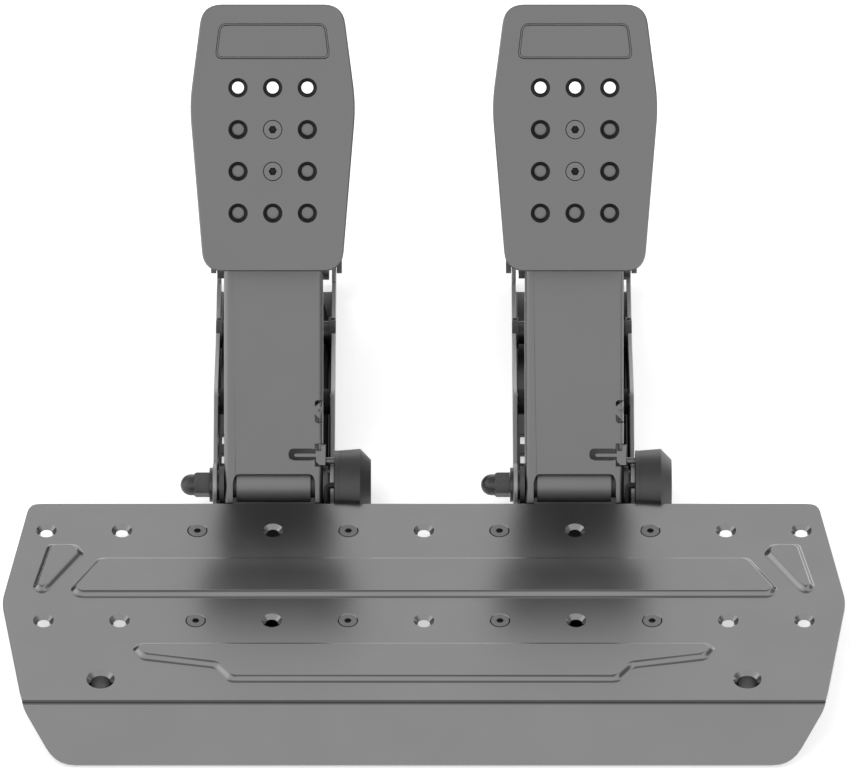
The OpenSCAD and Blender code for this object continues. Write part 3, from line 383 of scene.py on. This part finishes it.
def refill_folds(bm):
    """Fills each flat anew where the mesh is folded over itself"""
    taken, flats = set(), []
    folded = [e for e in bm.edges if e.is_manifold and e.calc_face_angle() > FOLDED]
    for face in sorted({f for e in folded for f in e.link_faces}, key=lambda f: -f.calc_area()):
        if face not in taken and face.calc_area() > LEAST_FOLD:
            flat = flat_around(face, taken)
            taken |= flat
            out = sum((f.normal * f.calc_area() for f in flat), Vector()).normalized()
            if min(f.normal.dot(out) for f in flat) < 0:
                flats.append((flat, out))
    for flat, out in flats:
        edges = {e for f in flat for e in f.edges}
        rim = [e for e in edges if sum(f in flat for f in e.link_faces) == 1]
        inner = [e for e in edges if e not in rim]
        bmesh.ops.delete(bm, geom=list(flat), context="FACES_ONLY")
        bmesh.ops.delete(bm, geom=inner, context="EDGES")
        for f in bmesh.ops.triangle_fill(bm, use_beauty=True, edges=rim, normal=out)["geom"]:
            if isinstance(f, bmesh.types.BMFace):
                f.normal_update()
                if f.normal.dot(out) < 0:
                    f.normal_flip()


def even_corners(bm):
    """A normal for each face corner: wide flats keep their own, narrow bends blend between them"""
    taken, weight = set(), {}
    for seed in sorted(bm.faces, key=lambda f: -f.calc_area()):
        if seed not in taken:
            flat = flat_around(seed, taken)
            taken |= flat
            area = SQUARE_MM * sum(f.calc_area() for f in flat)
            weight.update((f, area * area) for f in flat)
    normals = []
    for face in bm.faces:
        for corner in face.loops:
            near = [f for f in corner.vert.link_faces if f.normal.dot(face.normal) > BLENDED]
            normal = sum((f.normal * weight[f] for f in near), Vector())
            normals.append(normal.normalized() if normal.length > 0 else face.normal.copy())
    return normals


def eased(node, width):
    """The node's shape with every sharp edge broken by that width"""
    mesh = bpy.data.meshes.new(node + "_eased")
    bm = bmesh.new()
    bm.from_mesh(cad_nodes[node].data)
    bmesh.ops.remove_doubles(bm, verts=bm.verts, dist=SAME_POINT)
    refill_folds(bm)
    flat = [e for e in bm.edges if e.is_manifold and e.calc_face_angle() < LEVEL]
    bmesh.ops.beautify_fill(bm, faces=bm.faces, edges=flat)
    corners = [
        e for e in bm.edges
        if e.is_manifold and SHARP < e.calc_face_angle() < FOLDED
        and min(narrowest(f) for f in e.link_faces) > SLIMMEST
    ]
    sheet = BVHTree.FromBMesh(bm)
    bmesh.ops.bevel(
        bm, geom=corners, offset=width, offset_type="OFFSET", segments=EDGE_STEPS, profile=0.5,
        affect="EDGES", clamp_overlap=False, loop_slide=True,
    )
    # Points that crossing bevels throw off are drawn back onto the sheet
    for v in bm.verts:
        spot, _, _, off = sheet.find_nearest(v.co)
        if off > width * BEVEL_REACH:
            v.co = spot
    for e in bm.edges:
        e.smooth = not e.is_manifold or e.calc_face_angle() < SMOOTH
    bm.normal_update()
    normals = even_corners(bm)
    bm.to_mesh(mesh)
    bm.free()
    for f in mesh.polygons:
        f.use_smooth = True
    mesh.normals_split_custom_set(normals)
    return bpy.data.objects.new(node + "_eased", mesh)


def ring_tube(name, points, radius, sides):
    """A round closed tube along a path, its rings carried along without twist"""
    mesh = bpy.data.meshes.new(name)
    bm = bmesh.new()
    count = len(points)
    rings = []
    side = None
    for i, p in enumerate(points):
        along = (points[min(i + 1, count - 1)] - points[max(i - 1, 0)]).normalized()
        if side is None:
            side = along.orthogonal()
        side = (side - along * side.dot(along)).normalized()
        up = along.cross(side)
        rings.append([
            bm.verts.new(p + radius * (math.cos(a) * side + math.sin(a) * up))
            for a in (2 * math.pi * j / sides for j in range(sides))
        ])
    for low, high in zip(rings, rings[1:]):
        for j in range(sides):
            bm.faces.new((low[j], low[(j + 1) % sides], high[(j + 1) % sides], high[j]))
    bm.faces.new(list(reversed(rings[0])))
    bm.faces.new(rings[-1])
    for f in bm.faces:
        f.smooth = len(f.verts) == 4
    bm.to_mesh(mesh)
    bm.free()
    return bpy.data.objects.new(name, mesh)


def smooth_path(stops, steps):
    """Points on a smooth curve through the stops"""
    path = []
    last = len(stops) - 1
    for i in range(last):
        a, b, c, d = stops[max(i - 1, 0)], stops[i], stops[i + 1], stops[min(i + 2, last)]
        out, into = (c - a) / 2, (d - b) / 2
        for j in range(steps):
            t = j / steps
            path.append(
                b * (2 * t**3 - 3 * t**2 + 1) + out * (t**3 - 2 * t**2 + t)
                + c * (3 * t**2 - 2 * t**3) + into * (t**3 - t**2)
            )
    path.append(stops[-1])
    return path


# ---------------------------------------------------------------- light


def light_node(tree, kind, **settings):
    """A new node of that kind with those settings"""
    node = tree.nodes.new("ShaderNode" + kind)
    for key, value in settings.items():
        setattr(node, key, value)
    return node


def joined(tree, operation, a, b):
    """Two values joined by that operation"""
    node = light_node(tree, "Math", operation=operation)
    tree.links.new(a, node.inputs[0])
    if isinstance(b, float):
        node.inputs[1].default_value = b
    else:
        tree.links.new(b, node.inputs[1])
    return node.outputs[0]


def fade(tree, source, start, end, before, after):
    """A value that goes softly from before to after as the source goes from start to end"""
    node = light_node(tree, "MapRange", interpolation_type="SMOOTHSTEP")
    levels = {"From Min": start, "From Max": end, "To Min": before, "To Max": after}
    for key, value in levels.items():
        node.inputs[key].default_value = value
    tree.links.new(source, node.inputs["Value"])
    return node.outputs["Result"]


def chosen(tree, factor, off, on):
    """One value where the factor is 0 and the other where it is 1"""
    node = light_node(tree, "Mix")
    tree.links.new(factor, node.inputs["Factor"])
    for value, key in ((off, "A"), (on, "B")):
        if isinstance(value, float):
            node.inputs[key].default_value = value
        else:
            tree.links.new(value, node.inputs[key])
    return node.outputs["Result"]


# ---------------------------------------------------------------- operators


class PEDALSET_OT_base_plate(bpy.types.Operator):
    """Base plate with rounded pressings and broken edges"""

    bl_idname = "pedal_set.base_plate"
    bl_label = "Base Plate"

    def execute(self, context):
        place(eased("base_plate", sizes().edge_radius), "base", "plate_steel", ["base_plate"])
        return {"FINISHED"}


class PEDALSET_OT_sheet_metal(bpy.types.Operator):
    """Arms, face plates, frames and brackets with broken edges"""

    bl_idname = "pedal_set.sheet_metal"
    bl_label = "Sheet Metal"

    # The frame's upright walls lie this far out from the pedal's middle, above this height
    wall = (0.0262, 0.0285)
    wall_foot = 0.008
    # A wall's own sides are turned sideways by more than this, and its cut edges, which get the painted highlight,
    # by less
    wall_side = 0.8
    # Where the holes of a face plate stand, the way it faces, and how far out its front lies
    holes_side = 0.0215
    holes = (0.134, 0.1895)
    face_out = Vector((0, -0.8, 0.6))
    face_front = 0.03736
    # Its front and back are turned that way by more than this, and the sides of its holes by less
    face_flat = 0.9
    # The rims and sockets of its screws lie between these depths behind its front
    sunk = (0.0008, 0.004)

    def paint_edge_highlights(self, obj, middle):
        """Paints a highlight on the cut upper edges of a frame's walls, a lighter finish on the faces that don't
        face sideways
        """
        obj.data.materials.append(finish("painted_edge_highlight"))
        for f in obj.data.polygons:
            out = abs(f.center.x - middle)
            on_wall = self.wall[0] < out < self.wall[1] and f.center.z > self.wall_foot
            if on_wall and abs(f.normal.x) < self.wall_side:
                f.material_index = 1

    def paint_hole_shade(self, obj, middle, sockets):
        """Paints shade into a face plate's holes, or onto its screws' rims and sockets, with a dark finish"""
        obj.data.materials.append(finish("painted_hole_shade"))
        for f in obj.data.polygons:
            aside = abs(f.center.x - middle)
            behind = self.face_front - f.center.dot(self.face_out)
            among = aside < self.holes_side and self.holes[0] < f.center.z < self.holes[1]
            sunk = sockets and self.sunk[0] < behind < self.sunk[1]
            if among and (sunk or abs(f.normal.dot(self.face_out)) < self.face_flat):
                f.material_index = 1

    def execute(self, context):
        s = sizes()
        for pedal in PEDALS:
            middle = joints[pedal + "_pivot"]["pos_m"][0]
            for part, body, slot_name in (
                ("arm", pedal + "_pedal", "arm_steel"),
                ("face_plate", pedal + "_pedal", "arm_steel"),
                ("face_bracket", pedal + "_pedal", "arm_steel"),
                ("sensor_lever", pedal + "_pedal", "lever_steel"),
                ("face_screws", pedal + "_pedal", "coated_screws"),
                ("frame", "base", "frame_steel"),
                ("rear_bracket", "base", "frame_steel"),
            ):
                node = pedal + "_" + part
                piece = place(eased(node, s.edge_radius), body, slot_name, [node])
                if part == "frame":
                    self.paint_edge_highlights(piece, middle)
                # The face plates' holes and the screws' rims and sockets get painted shade
                if part in ("face_plate", "face_screws"):
                    self.paint_hole_shade(piece, middle, sockets=part == "face_screws")
        return {"FINISHED"}


class PEDALSET_OT_springs(bpy.types.Operator):
    """Coil springs of round wire round the struts"""

    bl_idname = "pedal_set.springs"
    bl_label = "Springs"

    # Wire thickness, turns, and how far the spring shortens over its pedal's travel
    coils = {"brake": (0.004, 9, 0.02066), "throttle": (0.0026, 11, 0.03127)}
    # The ends of the spring, from the lower shaft and from the bolt in the arm
    seat = 0.0173
    cap_room = 0.0113
    coil_radius = 0.011
    # Turns at each end that lie nearly closed, and the gap between them
    closed_turns = 1.25
    closed_gap = 0.00055

    def rise(self, turn, turns, wire, length):
        """Height of the wire's middle after that many turns: closed ends, even turns between"""
        low = wire + self.closed_gap
        closed = self.closed_turns
        high = (length - wire - 2 * closed * low) / (turns - 2 * closed)
        if turn < closed:
            return low * turn
        if turn > turns - closed:
            return low * closed + high * (turns - 2 * closed) + low * (turn - turns + closed)
        return low * closed + high * (turn - closed)

    def execute(self, context):
        s = sizes()
        for pedal in PEDALS:
            wire, turns, shortening = self.coils[pedal]
            foot = Vector(joints[pedal + "_strut_shaft"]["pos_m"])
            eye = Vector(joints[pedal + "_rod_eye"]["pos_m"])
            along = (eye - foot).normalized()
            across = Vector((1, 0, 0))
            back = along.cross(across)
            length = (eye - foot).length - self.seat - self.cap_room
            start = foot + along * self.seat
            points = []
            for i in range(turns * s.turn_steps + 1):
                turn = i / s.turn_steps
                a = 2 * math.pi * turn
                high = wire / 2 + self.rise(turn, turns, wire, length)
                out = self.coil_radius * (math.cos(a) * across + math.sin(a) * back)
                points.append(start + along * high + out)
            coil = ring_tube(pedal + "_coil", points, wire / 2, s.wire_sides)
            place(coil, pedal + "_strut", "spring_steel", [pedal + "_spring"])
            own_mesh(coil)
        return {"FINISHED"}


class PEDALSET_OT_leads(bpy.types.Operator):
    """Round sheathed leads from the sensors along the frames to their sockets"""

    bl_idname = "pedal_set.leads"
    bl_label = "Sensor Leads"

    radius = 0.0011
    # Rings from one stop of the route to the next
    steps = 6
    # Sideways from the pedal's middle, back from the rear hole row and up from the floor, in mm
    route = (
        (38.15, 28.92, 24.74), (34, 28.92, 24.74), (29, 28.92, 24.74), (26.8, 28.92, 24.74),
        (24.9, 28.62, 24.24), (24.6, 27.1, 21.6), (24.6, 26, 18), (24.6, 25.6, 13),
        (24.5, 26.7, 8), (24.2, 30, 4.8), (23.9, 36, 3.5), (23.9, 50, 3.4),
        (23.9, 90, 3.4), (23.9, 130, 3.4), (23.9, 160, 3.4), (23.4, 172, 3.8),
        (21.5, 180, 6.5), (18, 183.5, 13), (14, 184, 20), (12, 184.2, 25.5),
        (12, 184.6, 28.6), (12, 186.3, 30.7), (12, 187.7, 31), (12, 188.25, 31),
    )

    def execute(self, context):
        s = sizes()
        for pedal in PEDALS:
            middle = joints[pedal + "_pivot"]["pos_m"][0]
            stops = [
                Vector((middle + x / 1000, REAR_ROW + y / 1000, z / 1000)) for x, y, z in self.route
            ]
            path = smooth_path(stops, self.steps)
            lead = ring_tube(pedal + "_lead", path, self.radius, s.lead_sides)
            place(lead, "base", "lead_sheath", [pedal + "_sensor_lead"])
        return {"FINISHED"}


class PEDALSET_OT_finishes(bpy.types.Operator):
    """Finishes of every solid that is carried over"""

    bl_idname = "pedal_set.finishes"
    bl_label = "Finishes"

    def execute(self, context):
        slots = {p["node"]: p["material_slot"] for p in frame["record"]["subparts"]}
        for node, obj in cad_nodes.items():
            obj.data.materials.clear()
            obj.data.materials.append(finish("sleeve" if "pivot_sleeve" in node else slots[node]))
        return {"FINISHED"}


class PEDALSET_OT_stage(bpy.types.Operator):
    """Floor, lights and camera"""

    bl_idname = "pedal_set.stage"
    bl_label = "Stage"

    floor_half = 6.0
    floor_gap = 0.0004
    floor_grey = (0.8, 0.8, 0.8, 1)
    floor_glow = 0.55
    daylight = 0.6
    # Start and end of each fade in the studio's reflection, and the light before and after it
    roof = (0.76, 0.92, 1.0, 0.36)
    right_side = (0.7, 0.97, 1.0, 0.2)
    left_side = (-1.3, -1.1, 0.12, 1.0)
    left_light = (-0.95, -0.7, 1.5, 1.0)
    far_wall = (0.15, 0.9, 1.0, 2.0)
    # Name, place, width and power of each lamp, and the spot that all are turned to
    softboxes = (
        ("top softbox", (-0.6, -0.5, 1.6), 1.2, 14),
        ("side softbox", (1.3, 0.6, 1.0), 0.9, 6),
    )
    lamp_aim = Vector((0, 0, 0.05))
    # The camera looks down by these degrees, from this far off, at a spot raised above the rear row
    camera_down = 40.8
    camera_away = 6.0568
    camera_raised = 0.06695
    lens = 553.3
    lens_shift = 0.0013

    def execute(self, context):
        scene = context.scene
        scene.view_settings.view_transform = "Standard"
        self.floor(scene)
        self.world(scene)
        self.lamps(scene)
        self.camera(scene)
        return {"FINISHED"}

    def floor(self, scene):
        """Matt pale floor that glows a little where it is seen or mirrored"""
        mesh = bpy.data.meshes.new("floor")
        r = self.floor_half
        mesh.from_pydata([(-r, -r, 0), (r, -r, 0), (r, r, 0), (-r, r, 0)], [], [(0, 1, 2, 3)])
        obj = bpy.data.objects.new("floor", mesh)
        obj.location.z = cad_box[0][2] - self.floor_gap
        scene.collection.objects.link(obj)
        mat = bpy.data.materials.new("pale floor")
        mat.use_nodes = True
        tree = mat.node_tree
        tree.nodes.remove(tree.nodes["Principled BSDF"])
        matt = light_node(tree, "BsdfDiffuse")
        matt.inputs["Color"].default_value = self.floor_grey
        seen = light_node(tree, "LightPath").outputs
        direct = joined(tree, "MAXIMUM", seen["Is Camera Ray"], seen["Is Glossy Ray"])
        either = joined(tree, "MAXIMUM", direct, seen["Is Transmission Ray"])
        glow = light_node(tree, "Emission")
        tree.links.new(joined(tree, "MULTIPLY", either, self.floor_glow), glow.inputs["Strength"])
        add = light_node(tree, "AddShader")
        tree.links.new(matt.outputs[0], add.inputs[0])
        tree.links.new(glow.outputs[0], add.inputs[1])
        tree.links.new(add.outputs[0], tree.nodes["Material Output"].inputs["Surface"])
        mesh.materials.append(mat)

    def world(self, scene):
        """Studio light: white to the camera, an even daylight, and its own look in the metal"""
        world = bpy.data.worlds.new("studio")
        scene.world = world
        world.use_nodes = True
        tree = world.node_tree
        back = tree.nodes["Background"]
        back.inputs["Color"].default_value = (1, 1, 1, 1)
        seen = light_node(tree, "LightPath").outputs
        way = light_node(tree, "SeparateXYZ")
        tree.links.new(light_node(tree, "TexCoord").outputs["Generated"], way.inputs[0])
        x, y, z = way.outputs
        # Mirrored in the metal: a dark roof, dark sides and a brighter far wall
        roof = fade(tree, z, *self.roof)
        far_left = fade(tree, joined(tree, "SUBTRACT", x, y), *self.left_side)
        left = joined(tree, "MULTIPLY", far_left, fade(tree, x, *self.left_light))
        sides = joined(tree, "MULTIPLY", fade(tree, x, *self.right_side), left)
        wall = fade(tree, joined(tree, "SUBTRACT", y, z), *self.far_wall)
        mirrored = joined(tree, "MULTIPLY", joined(tree, "MULTIPLY", roof, sides), wall)
        plain = joined(tree, "MAXIMUM", seen["Is Camera Ray"], seen["Is Transmission Ray"])
        room = chosen(tree, seen["Is Glossy Ray"], self.daylight, mirrored)
        tree.links.new(chosen(tree, plain, room, 1.0), back.inputs["Strength"])

    def lamps(self, scene):
        """Two soft lamps that the metal doesn't mirror"""
        for name, spot, size, power in self.softboxes:
            data = bpy.data.lights.new(name, "AREA")
            data.size = size
            data.energy = power
            lamp = bpy.data.objects.new(name, data)
            lamp.location = spot
            lamp.visible_glossy = False
            aim = self.lamp_aim - Vector(spot)
            lamp.rotation_euler = aim.to_track_quat("-Z", "Y").to_euler()
            scene.collection.objects.link(lamp)

    def camera(self, scene):
        """Long lens from the front and above"""
        tilt = math.radians(self.camera_down)
        look = Vector((0, math.cos(tilt), -math.sin(tilt)))
        up = Vector((0, math.sin(tilt), math.cos(tilt)))
        data = bpy.data.cameras.new("camera")
        data.sensor_width = 36.0
        data.lens = self.lens
        data.shift_x = self.lens_shift
        data.clip_start = 0.1
        data.clip_end = 50
        cam = bpy.data.objects.new("camera", data)
        row = Vector((0, REAR_ROW, PLATE_TOP))
        cam.location = row + up * self.camera_raised - look * self.camera_away
        cam.rotation_euler = (math.pi / 2 - tilt, 0, 0)
        scene.collection.objects.link(cam)
        scene.camera = cam


class PEDALSET_PT_panel(bpy.types.Panel):
    """Lists the sizes, the colours and the build steps"""

    bl_idname = "PEDALSET_PT_panel"
    bl_label = "Pedal Set"
    bl_space_type = "VIEW_3D"
    bl_region_type = "UI"
    bl_category = "Pedal Set"

    def draw(self, context):
        for group in (context.scene.pedal_set_sizes, context.scene.pedal_set_colours):
            box = self.layout.box()
            for key in group.__annotations__:
                box.prop(group, key)
        for step in BUILD_STEPS:
            self.layout.operator(step.bl_idname)


BUILD_STEPS = (
    PEDALSET_OT_finishes,
    PEDALSET_OT_base_plate,
    PEDALSET_OT_sheet_metal,
    PEDALSET_OT_springs,
    PEDALSET_OT_leads,
    PEDALSET_OT_stage,
)
CLASSES = (PedalSetSizes, PedalSetColours, *BUILD_STEPS, PEDALSET_PT_panel)


def register():
    """Adds the sizes, the colours, the build steps and the panel"""
    for cls in CLASSES:
        bpy.utils.register_class(cls)
    bpy.types.Scene.pedal_set_sizes = bpy.props.PointerProperty(type=PedalSetSizes)
    bpy.types.Scene.pedal_set_colours = bpy.props.PointerProperty(type=PedalSetColours)


def unregister():
    """Takes them away again"""
    del bpy.types.Scene.pedal_set_colours
    del bpy.types.Scene.pedal_set_sizes
    for cls in reversed(CLASSES):
        bpy.utils.unregister_class(cls)


def main():
    """Builds every step in order"""
    register()
    bpy.ops.pedal_set.finishes()
    bpy.ops.pedal_set.base_plate()
    bpy.ops.pedal_set.sheet_metal()
    bpy.ops.pedal_set.springs()
    bpy.ops.pedal_set.leads()
    bpy.ops.pedal_set.stage()


if __name__ == "__main__":
    main()
